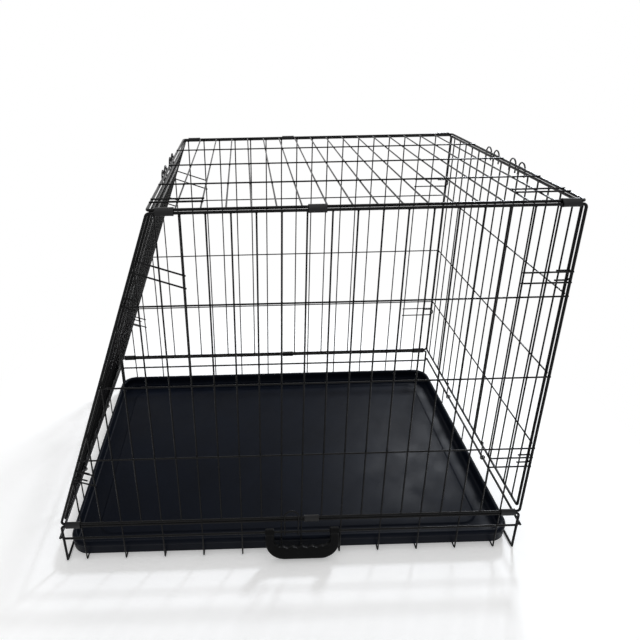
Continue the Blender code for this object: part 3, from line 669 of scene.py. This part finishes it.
def build_rear_end():
    """The upright end panel, hinged at its foot."""
    place = Matrix.Translation((X_PIN, Y_MID, END_RAIL_Z))
    mat = WireMat("rear_end_wires", place)
    arm = -EYE_RADIUS
    plane = arm - ARM_OFFSET
    top = END_TOP_Z - END_RAIL_Z
    half = WIDTH / 2 - END_INSET
    mat.run(upright_loop(plane, half, END_FOOT, top), FRAME_WIRE, BEND, closed=True)
    for y in mesh_wires(END_WIRES):
        butted_upright(mat, plane, y, END_FOOT, top)
    for z in end_rows(top):
        mat.run([(plane + CROSSING, y, z) for y in (-half, half)])
        for y in mesh_wires(END_WIRES):
            mat.weld((plane + CROSSING / 2, y, z), X)
        for y in (-half, half):
            mat.weld((plane + CROSSING / 2, y, z), X, POST_WELD)
    end_fittings(mat, plane, arm)
    mat.finish(WIRE, "rear_end", "rear_end_panel")


# The slanted end: out of the cage, across it and up the slope
OUT_OF_SLANT = Vector((-math.sin(SLANT), 0, math.cos(SLANT)))
UP_SLANT = Vector((math.cos(SLANT), 0, math.sin(SLANT)))
FRONT_TURN = Matrix((OUT_OF_SLANT, -Y, UP_SLANT)).transposed().to_4x4()
FRONT_PLACE = Matrix.Translation((-X_PIN, Y_MID, END_RAIL_Z)) @ FRONT_TURN
FRONT_PLANE = EYE_RADIUS - ARM_OFFSET
FRONT_TOP = (END_TOP_Z - END_RAIL_Z - FRONT_PLANE * math.cos(SLANT)) / math.sin(SLANT)
DOOR_HALF = DOOR_SPACES * PITCH / 2
DOOR_WIRES = DOOR_SPACES // 2
DOOR_TOP = FRONT_TOP - DOOR_HEAD
BOLT_HEIGHTS = [DOOR_SILL + share * (DOOR_TOP - DOOR_SILL) for share in BOLT_SHARES]
LEAF_HALF = DOOR_HALF - DOOR_INSET
ROD_PLANE = FRONT_PLANE + BOLT_STANDOFF


def staple(mat, foot, y, z):
    """An inverted U of wire over the bolt's rod, its legs ending at foot."""
    crown = arc(Vector((ROD_PLANE, y, z)), STAPLE_HALF, X, Z, -90, 90)
    mat.run([Vector((foot, y, z - STAPLE_HALF)), *crown, Vector((foot, y, z + STAPLE_HALF))])
    for side in (-STAPLE_HALF, STAPLE_HALF):
        mat.weld((foot + MESH_WIRE / 2, y, z + side), X, STAPLE_WELD)


def build_front_end():
    """The slanted end panel, with the framed doorway and the staples that take the bolts."""
    mat = WireMat("front_end_wires", FRONT_PLACE)
    half = WIDTH / 2 - END_INSET
    plane = FRONT_PLANE
    mat.run(upright_loop(plane, half, END_FOOT, FRONT_TOP), FRAME_WIRE, BEND, closed=True)
    mat.run(upright_loop(plane, DOOR_HALF, DOOR_SILL, DOOR_TOP), FRAME_WIRE, BEND, closed=True)
    through = [(END_FOOT, FRONT_TOP)]
    broken = [(END_FOOT, DOOR_SILL), (DOOR_TOP, FRONT_TOP)]
    for y in mesh_wires(END_WIRES):
        for low, high in through if abs(y) > DOOR_HALF else broken:
            butted_upright(mat, plane, y, low, high)
    beside = [k * PITCH for k in range(DOOR_WIRES + 1, END_WIRES + 1)]
    for z in end_rows(FRONT_TOP):
        for hand in (-1, 1):
            mat.run([(plane + CROSSING, hand * y, z) for y in (DOOR_HALF, half)])
            for y in (DOOR_HALF, *beside, half):
                mat.weld((plane + CROSSING / 2, hand * y, z), X)
    for z in BOLT_HEIGHTS:
        staple(mat, plane + FRAME_WIRE / 4, DOOR_HALF, z)
    end_fittings(mat, plane, EYE_RADIUS)
    mat.finish(WIRE, "front_end", "front_end_panel")


def build_door():
    """The door's leaf, its wire eyes round one upright of the doorway and the bolts' staples."""
    mat = WireMat("door_wires", FRONT_PLACE)
    plane = FRONT_PLANE
    low = DOOR_SILL + DOOR_INSET
    high = DOOR_TOP - DOOR_INSET
    mat.run(upright_loop(plane, LEAF_HALF, low, high), FRAME_WIRE, BEND, closed=True)
    for y in mesh_wires(DOOR_WIRES):
        butted_upright(mat, plane, y, low, high)
    for z in end_rows(FRONT_TOP):
        mat.run([(plane + CROSSING, y, z) for y in (-LEAF_HALF, LEAF_HALF)])
        for y in (-LEAF_HALF, *mesh_wires(DOOR_WIRES), LEAF_HALF):
            mat.weld((plane + CROSSING / 2, y, z), X)
    for share in HINGE_SHARES:
        z = low + share * (high - low)
        lift = plane + EYE_RADIUS
        eye = arc(Vector((plane, -DOOR_HALF, z)), EYE_RADIUS, Y, X, *HINGE_TURN, EYE_STEPS)
        mat.run([Vector((lift - HINGE_ARM_SINK, -LEAF_HALF + HINGE_ARM, z)), *eye])
        mat.weld((plane + lift / 2, -LEAF_HALF, z), X, POST_WELD)
    for z in BOLT_HEIGHTS:
        staple(mat, plane + FRAME_WIRE / 4, LEAF_HALF, z)
        staple(mat, plane, (DOOR_WIRES - 1) * PITCH, z)
    mat.finish(WIRE, "door", "front_door")


def build_bolts():
    """Two slide bolts: a rod with its inner end bent out to a knob."""
    for name, z in zip(("lower", "upper"), BOLT_HEIGHTS):
        mat = WireMat(f"{name}_bolt_rod", FRONT_PLACE)
        tip = LEAF_HALF + MESH_WIRE / 2
        tail = tip - BOLT_LENGTH
        bent = (ROD_PLANE, tip), (ROD_PLANE, tail), (ROD_PLANE + BOLT_KNOB, tail)
        mat.run([(x, y, z) for x, y in bent], BOLT_ROD, BOLT_ROD)
        rod = mat.finish(WIRE, f"bolt_{name}", f"door_bolt_{name}")


# Clips


def clip_section(first, second, radius, hooked, steps=8):
    """Half a turn round each of two rails; a hooked section stops over the second rail's crown."""
    line = (second - first).normalized()
    side = line.cross(X)
    held = arc(first, radius, -side, -line, 0, 180, steps)
    if hooked:
        return [held[0].lerp(second - side * radius, CLIP_HOOK), *held]
    return arc(second, radius, side, line, 0, 180, steps) + held


def build_clip(node, body, x, first, second, hooked=False):
    """A sheet bent round two rails, with flared and rounded ends."""
    bm = bmesh.new()
    first = Vector((0, *first))
    second = Vector((0, *second))
    rings = []
    for share, grow in CLIP_FLARE:
        points = clip_section(first, second, CLIP_BORE + CLIP_SHEET / 2 + grow, hooked)
        rings.append([bm.verts.new(point + X * (x + share * CLIP_WIDTH / 2)) for point in points])
    count = len(rings[0])
    for here, there in zip(rings, rings[1:]):
        for k in range(count - 1 if hooked else count):
            n = (k + 1) % count
            bm.faces.new((here[k], here[n], there[n], there[k]))
    bmesh.ops.recalc_face_normals(bm, faces=bm.faces)
    bmesh.ops.solidify(bm, geom=bm.faces, thickness=CLIP_SHEET)
    folds = [edge for edge in bm.edges if edge.is_manifold]
    rims = [edge for edge in folds if edge.calc_face_angle(0) > CLIP_EDGE_RADIANS]
    bmesh.ops.bevel(bm, geom=rims, offset=CLIP_EDGE_ROUND, offset_type="OFFSET", segments=2,
                    profile=0.5, affect="EDGES", material=-1)
    piece(node.replace("clip", "sleeve"), bm, SHEET, body, "clip_steel", node, angle=35)


def build_clips():
    """Six clips that join the top to the sides, and six that join the sides to the base."""
    for place, spaces in TOP_CLIP_SPACES.items():
        x = column_x(spaces) + TOP_CLIP_SHIFT[place]
        near = (Y_NEAR, SIDE_TOP_Z), (Y_NEAR + TOP_INSET, TOP_Z)
        far = (Y_FAR - TOP_INSET, TOP_Z), (Y_FAR, SIDE_TOP_Z)
        build_clip(f"near_top_clip_{place}", "near_side", x, *near)
        build_clip(f"far_top_clip_{place}", "top", x, *far, hooked=True)
    for place, spaces in BOTTOM_CLIP_SPACES.items():
        for side, y in (("near", Y_NEAR), ("far", Y_FAR)):
            rails = (y, WALL_RAIL_Z), (y, SIDE_BOTTOM_Z)
            build_clip(f"{side}_bottom_clip_{place}", "base", column_x(spaces), *rails)


# Ring latch


def build_ring():
    """The ring round the near side's bottom rail, with two hooks under the hoop wire."""
    mat = WireMat("ring_wire")
    half = RING_WIDTH / 2
    pivot = Vector((column_x(RING_CENTRE_SPACES), Y_NEAR, SIDE_BOTTOM_Z))
    stand = pivot - Y * EYE_RADIUS
    drop = pivot.z - HOOP_Z + RING_HOOK_BELOW
    crown = arc(stand + Z * (RING_ABOVE - half), half, X, Z, 0, 180, RING_CROWN_STEPS)
    hooks = []
    for hand in (1, -1):
        head = stand + X * (hand * half)
        foot = head - Z * drop
        hooks.append(rounded([head, foot, foot + Y * RING_HOOK], MESH_WIRE, steps=5))
    mat.run([*hooks[0][::-1], *crown, *hooks[1]])
    for hand in (-1, 1):
        middle = pivot + X * (hand * half)
        mat.run(arc(middle, EYE_RADIUS, Y, Z, 180, 180 - RING_WRAP))
        mat.weld(stand + X * (hand * half), Z, RING_WELD)
    mat.finish(WIRE, "ring", "ring_latch")


# Tray


def tray_profile(foot, rim):
    """Inset and height of the pan's section, from its foot over the rim to the raised middle."""
    sheet = TRAY_SHEET
    bead = TRAY_BEAD
    wall = TRAY_WALL_INSET
    floor = foot + sheet
    inner = bead + sheet + TRAY_DRAFT
    turns = [math.radians(degrees) for degrees in TRAY_BEAD_DEGREES]
    roll = [(bead * (1 - math.cos(turn)), rim - bead * (1 - math.sin(turn))) for turn in turns]
    outside = [
        (wall + TRAY_DRAFT - 0.0008, foot + 0.0006),
        (wall, foot + 0.0020),
        (wall, rim - 2.6 * bead),
        (wall - 0.0004, rim - 2.2 * bead),
        (0.0, rim - 1.9 * bead),
    ]
    inside = [
        (bead + sheet, rim - 2 * bead),
        (inner - 0.0016, floor + 0.0030),
        (inner, floor + 0.0010),
        (inner + 0.0030, floor),
    ]
    rise = ((0.0, 0.0), (0.0012, 0.0004), (0.0028, TRAY_STEP - 0.0004), (0.0042, TRAY_STEP))
    raised = [(TRAY_GUTTER + inset, floor + lift) for inset, lift in rise]
    return outside + roll + inside + raised


def build_tray():
    """A moulded pan: flat foot, straight wall, rolled rim, gutter and raised middle."""
    low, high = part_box("tray")
    middle = (low + high) / 2
    half_x = (high.x - low.x) / 2
    half_y = (high.y - low.y) / 2
    bm = bmesh.new()
    bmesh.ops.create_grid(bm, x_segments=1, y_segments=1, size=1)
    bmesh.ops.scale(bm, vec=(half_x, half_y, 1), verts=bm.verts)
    bmesh.ops.translate(bm, vec=(middle.x, middle.y, low.z), verts=bm.verts)
    bmesh.ops.bevel(bm, geom=bm.verts[:], offset=TRAY_CORNER, offset_type="OFFSET",
                    segments=TRAY_CORNER_STEPS, profile=0.5, affect="VERTICES", material=-1)

    def draw(verts, last, inset, z):
        """Bring an outline that stands at the last inset in to this inset and height."""
        across = (half_x - inset) / (half_x - last), (half_y - inset) / (half_y - last)
        bmesh.ops.scale(bm, vec=(*across, 1), verts=verts, space=Matrix.Translation(-middle))
        bmesh.ops.translate(bm, vec=(0, 0, z - verts[0].co.z), verts=verts)

    loop = bm.edges[:]
    last = TRAY_WALL_INSET + TRAY_DRAFT
    draw(bm.verts[:], 0.0, last, low.z)
    for inset, z in tray_profile(low.z, high.z):
        made = bmesh.ops.extrude_edge_only(bm, edges=loop)["geom"]
        verts = [item for item in made if isinstance(item, bmesh.types.BMVert)]
        edges = [item for item in made if isinstance(item, bmesh.types.BMEdge)]
        loop = [edge for edge in edges if all(vert in verts for vert in edge.verts)]
        draw(verts, last, inset, z)
        last = inset
    bmesh.ops.edgeloop_fill(bm, edges=loop)
    bmesh.ops.recalc_face_normals(bm, faces=bm.faces)
    piece("moulded_pan", bm, PAN, "tray", "tray_plastic", "tray", angle=55)


# Handle


def handle_rings():
    """Middle, direction across, half height and half depth, from one barrel to the other."""
    grip_z = -HANDLE_DROP + HANDLE_GRIP_HEIGHT / 2
    leg = HANDLE_LEG_WIDTH / 2
    grip = HANDLE_GRIP_HEIGHT / 2
    tops = (0.0, -HANDLE_LEG_DEPTH / 2)
    rings = [(Vector((-HANDLE_BARREL_X, 0, z)), X, leg, HANDLE_LEG_DEPTH / 2) for z in tops]
    for k in range(HANDLE_CORNER_STEPS + 1):
        share = k / HANDLE_CORNER_STEPS
        turn = math.radians(90 * share)
        x = -HANDLE_BARREL_X + HANDLE_CORNER * (1 - math.cos(turn))
        z = grip_z + HANDLE_CORNER * HANDLE_CORNER_DROP * (1 - math.sin(turn))
        across = Vector((math.cos(turn), 0, math.sin(turn)))
        depth = HANDLE_LEG_DEPTH + (HANDLE_GRIP_DEPTH - HANDLE_LEG_DEPTH) * share
        rings.append((Vector((x, 0, z)), across, leg + (grip - leg) * share, depth / 2))
    inner = HANDLE_BARREL_X - HANDLE_CORNER
    steps = HANDLE_FINGERS * HANDLE_FINGER_STEPS
    for k in range(1, steps // 2 + 1):
        dip = HANDLE_SCALLOP * math.sin(math.pi * HANDLE_FINGERS * k / steps) ** 2
        middle = Vector((-inner + 2 * inner * k / steps, 0, grip_z - dip / 2))
        rings.append((middle, Z, grip - dip / 2, HANDLE_GRIP_DEPTH / 2))
    mirrored = []
    for middle, across, size, depth in rings[-2::-1]:
        flipped = Vector((-middle.x, 0, middle.z))
        mirrored.append((flipped, Vector((-across.x, 0, across.z)), size, depth))
    return rings + mirrored


def add_barrels(bm, diameter, length, segments):
    """A cylinder along the hoop wire at each end of the handle."""
    for hand in (-1, 1):
        place = Matrix.Translation((hand * HANDLE_BARREL_X, 0, 0))
        bmesh.ops.create_cone(bm, cap_ends=True, segments=segments, radius1=diameter / 2,
                              radius2=diameter / 2, depth=length,
                              matrix=place @ Matrix.Rotation(math.pi / 2, 4, "Y"))


def handle_body():
    """Squared rings bridged from one barrel to the other, with the barrels added."""
    bm = bmesh.new()
    loops = []
    for middle, across, size, depth in handle_rings():
        turn = Matrix((across, Y, across.cross(Y))).transposed().to_4x4()
        matrix = Matrix.Translation(middle) @ turn @ Matrix.Diagonal((size, depth, 1, 1))
        ring = bmesh.ops.create_circle(bm, segments=HANDLE_RING_SIDES, radius=1, matrix=matrix)["verts"]
        for vert in ring:
            local = turn.inverted() @ (vert.co - middle)
            grow = min(HANDLE_SQUARENESS, 1 / max(abs(local.x) / size, abs(local.y) / depth))
            vert.co = middle + turn @ Vector((local.x * grow, local.y * grow, 0))
        loops.append(list({edge for vert in ring for edge in vert.link_edges}))
    for ring, after in zip(loops, loops[1:]):
        bmesh.ops.bridge_loops(bm, edges=ring + after)
    for ring in (loops[0], loops[-1]):
        bmesh.ops.edgeloop_fill(bm, edges=ring)
    add_barrels(bm, HANDLE_BARREL, HANDLE_LEG_WIDTH, HANDLE_BARREL_SIDES)
    bmesh.ops.recalc_face_normals(bm, faces=bm.faces)
    return linked("handle_shape", mesh_of("handle_shape", bm))


def build_handle():
    """A moulded grip with finger hollows, hung from two barrels on the base's hoop wire."""
    item = handle_body()
    fuse = item.modifiers.new("fuse", "REMESH")
    fuse.mode = "VOXEL"
    fuse.voxel_size = HANDLE_VOXEL
    relax = item.modifiers.new("relax", "SMOOTH")
    relax.factor = 0.5
    relax.iterations = HANDLE_RELAX_STEPS
    bores = bmesh.new()
    add_barrels(bores, HANDLE_BORE, HANDLE_LEG_WIDTH * 2, HANDLE_BORE_SIDES)
    cutter = linked("handle_bores", mesh_of("handle_bores", bores))
    cut = item.modifiers.new("bores", "BOOLEAN")
    cut.operation = "DIFFERENCE"
    cut.object = cutter
    cut.solver = "EXACT"
    shaped = evaluated_mesh(item)
    bpy.data.objects.remove(item)
    bpy.data.objects.remove(cutter)
    done = bmesh.new()
    done.from_mesh(shaped)
    bpy.data.meshes.remove(shaped)
    lean = Matrix.Rotation(math.radians(-HANDLE_LEAN), 4, "X")
    place = Matrix.Translation((column_x(HANDLE_CENTRE_SPACES), Y_NEAR, HOOP_Z)) @ lean
    bmesh.ops.transform(done, matrix=place, verts=done.verts)
    piece("moulded_handle", done, GRIP, "handle", "handle_plastic", "carry_handle", angle=50)


build_base()
build_side("near_side_wires", "near_side_panel", "near_side", Y_NEAR, -1)
build_side("far_side_wires", "far_side_panel", "far_side", Y_FAR, 1)
build_top()
build_rear_end()
build_front_end()
build_door()
build_bolts()
build_clips()
build_ring()
build_tray()
build_handle()


# Studio


def white_to_viewer(tree, lit, white, share=None):
    """Mix a lit shader with plain white where the viewer or a reflection looks straight at it."""
    path = tree.nodes.new("ShaderNodeLightPath")
    seen = path.outputs["Is Camera Ray"]
    stages = [("MAXIMUM", path.outputs[ray]) for ray in ("Is Glossy Ray", "Is Transmission Ray")]
    if share:
        stages.append(("MULTIPLY", share))
    for operation, other in stages:
        node = tree.nodes.new("ShaderNodeMath")
        node.operation = operation
        tree.links.new(seen, node.inputs[0])
        tree.links.new(other, node.inputs[1])
        seen = node.outputs[0]
    mix = tree.nodes.new("ShaderNodeMixShader")
    tree.links.new(seen, mix.inputs["Fac"])
    tree.links.new(lit, mix.inputs[1])
    tree.links.new(white, mix.inputs[2])
    return mix.outputs[0]


ROOM_STRENGTH = 0.42
PAPER_GLOW = 0.30
PAPER_HALF = 12

world = bpy.data.worlds.new("studio")
bpy.context.scene.world = world
world.use_nodes = True
room = world.node_tree
soft = room.nodes["Background"]
soft.inputs["Color"].default_value = (1, 1, 1, 1)
soft.inputs["Strength"].default_value = ROOM_STRENGTH
backdrop = room.nodes.new("ShaderNodeBackground")
backdrop.inputs["Color"].default_value = (1, 1, 1, 1)
backdrop.inputs["Strength"].default_value = 1.0
room.links.new(white_to_viewer(room, soft.outputs[0], backdrop.outputs[0]),
               room.nodes["World Output"].inputs["Surface"])

# The paper keeps the kennel's shadow and runs out to plain white away from it
SHADOW_REACH = 0.58
SHADOW_END = 0.92
paper_grid = bmesh.new()
bmesh.ops.create_grid(paper_grid, x_segments=1, y_segments=1, size=PAPER_HALF)
studio_floor = linked("studio_floor", mesh_of("studio_floor", paper_grid))
paper = Finish("studio_paper", 0.9, specular=0.1)
cloud = paper.spread(paper.noise(3, 3), 0.3, 0.7)
paper.colour(paper.blend(cloud, (0.93, 0.93, 0.93), (0.95, 0.95, 0.945)))
paper.shader.inputs["Emission Color"].default_value = (1, 1, 1, 1)
paper.shader.inputs["Emission Strength"].default_value = PAPER_GLOW
away = paper.add("ShaderNodeVectorMath", operation="LENGTH")
paper.join(paper.place, away.inputs[0])
plain = paper.add("ShaderNodeEmission")
plain.inputs["Strength"].default_value = 1.0
faded = white_to_viewer(paper.tree, paper.shader.outputs[0], plain.outputs[0],
                        paper.spread(away.outputs["Value"], SHADOW_REACH, SHADOW_END))
paper.join(faded, paper.tree.nodes["Material Output"].inputs["Surface"])
studio_floor.data.materials.append(paper.material)


def softbox(name, place, target, size, power, colour=(1, 1, 1)):
    """A rectangular lamp at this place, turned to the target, with its power in watts."""
    data = bpy.data.lights.new(name, "AREA")
    data.shape = "RECTANGLE"
    data.size, data.size_y = size
    data.energy = power
    data.color = colour
    lamp = linked(name, data)
    lamp.location = place
    lamp.rotation_euler = (Vector(target) - Vector(place)).to_track_quat("-Z", "Y").to_euler()


softbox("overhead", (0.2, 0.4, 2.6), target=(0, 0, 0.3), size=(2.4, 1.8), power=10)
softbox("front_left", (-1.8, -1.9, 1.9), target=(0, 0, 0.3), size=(1.4, 1.4), power=5)
softbox("back_window", (1.5, 2.3, 2.05), target=(0.2, 0, 0), size=(0.45, 0.4), power=62,
        colour=(0.90, 0.94, 1.0))

# Camera, solved from the photograph; its focus and centre are in the photograph's pixels
CAMERA_PLACE = Vector((-0.0756, -1.1415, 0.9880))
CAMERA_YAW_RADIANS = math.radians(0.804)
CAMERA_PITCH_RADIANS = math.radians(-23.117)
CAMERA_ROLL_RADIANS = -0.0187
PHOTO_SIDE = 640
PHOTO_FOCUS = 568.0
PHOTO_CENTRE = (254.6, 271.6)
SENSOR_WIDTH = 36

level = Vector((math.sin(CAMERA_YAW_RADIANS), math.cos(CAMERA_YAW_RADIANS), 0))
right = Vector((math.cos(CAMERA_YAW_RADIANS), -math.sin(CAMERA_YAW_RADIANS), 0))
look = level * math.cos(CAMERA_PITCH_RADIANS) + Z * math.sin(CAMERA_PITCH_RADIANS)
upward = Z * math.cos(CAMERA_PITCH_RADIANS) - level * math.sin(CAMERA_PITCH_RADIANS)
across = right * math.cos(CAMERA_ROLL_RADIANS) + upward * math.sin(CAMERA_ROLL_RADIANS)
above = upward * math.cos(CAMERA_ROLL_RADIANS) - right * math.sin(CAMERA_ROLL_RADIANS)
lens = bpy.data.cameras.new("camera")
lens.sensor_width = SENSOR_WIDTH
lens.lens = PHOTO_FOCUS / PHOTO_SIDE * SENSOR_WIDTH
lens.shift_x = 0.5 - PHOTO_CENTRE[0] / PHOTO_SIDE
lens.shift_y = PHOTO_CENTRE[1] / PHOTO_SIDE - 0.5
lens.clip_start = 0.01
camera = linked("camera", lens)
turned = Matrix((across, above, -look)).transposed().to_4x4()
camera.matrix_world = Matrix.Translation(CAMERA_PLACE) @ turned
bpy.context.scene.camera = camera
bpy.context.scene.view_settings.view_transform = "Standard"
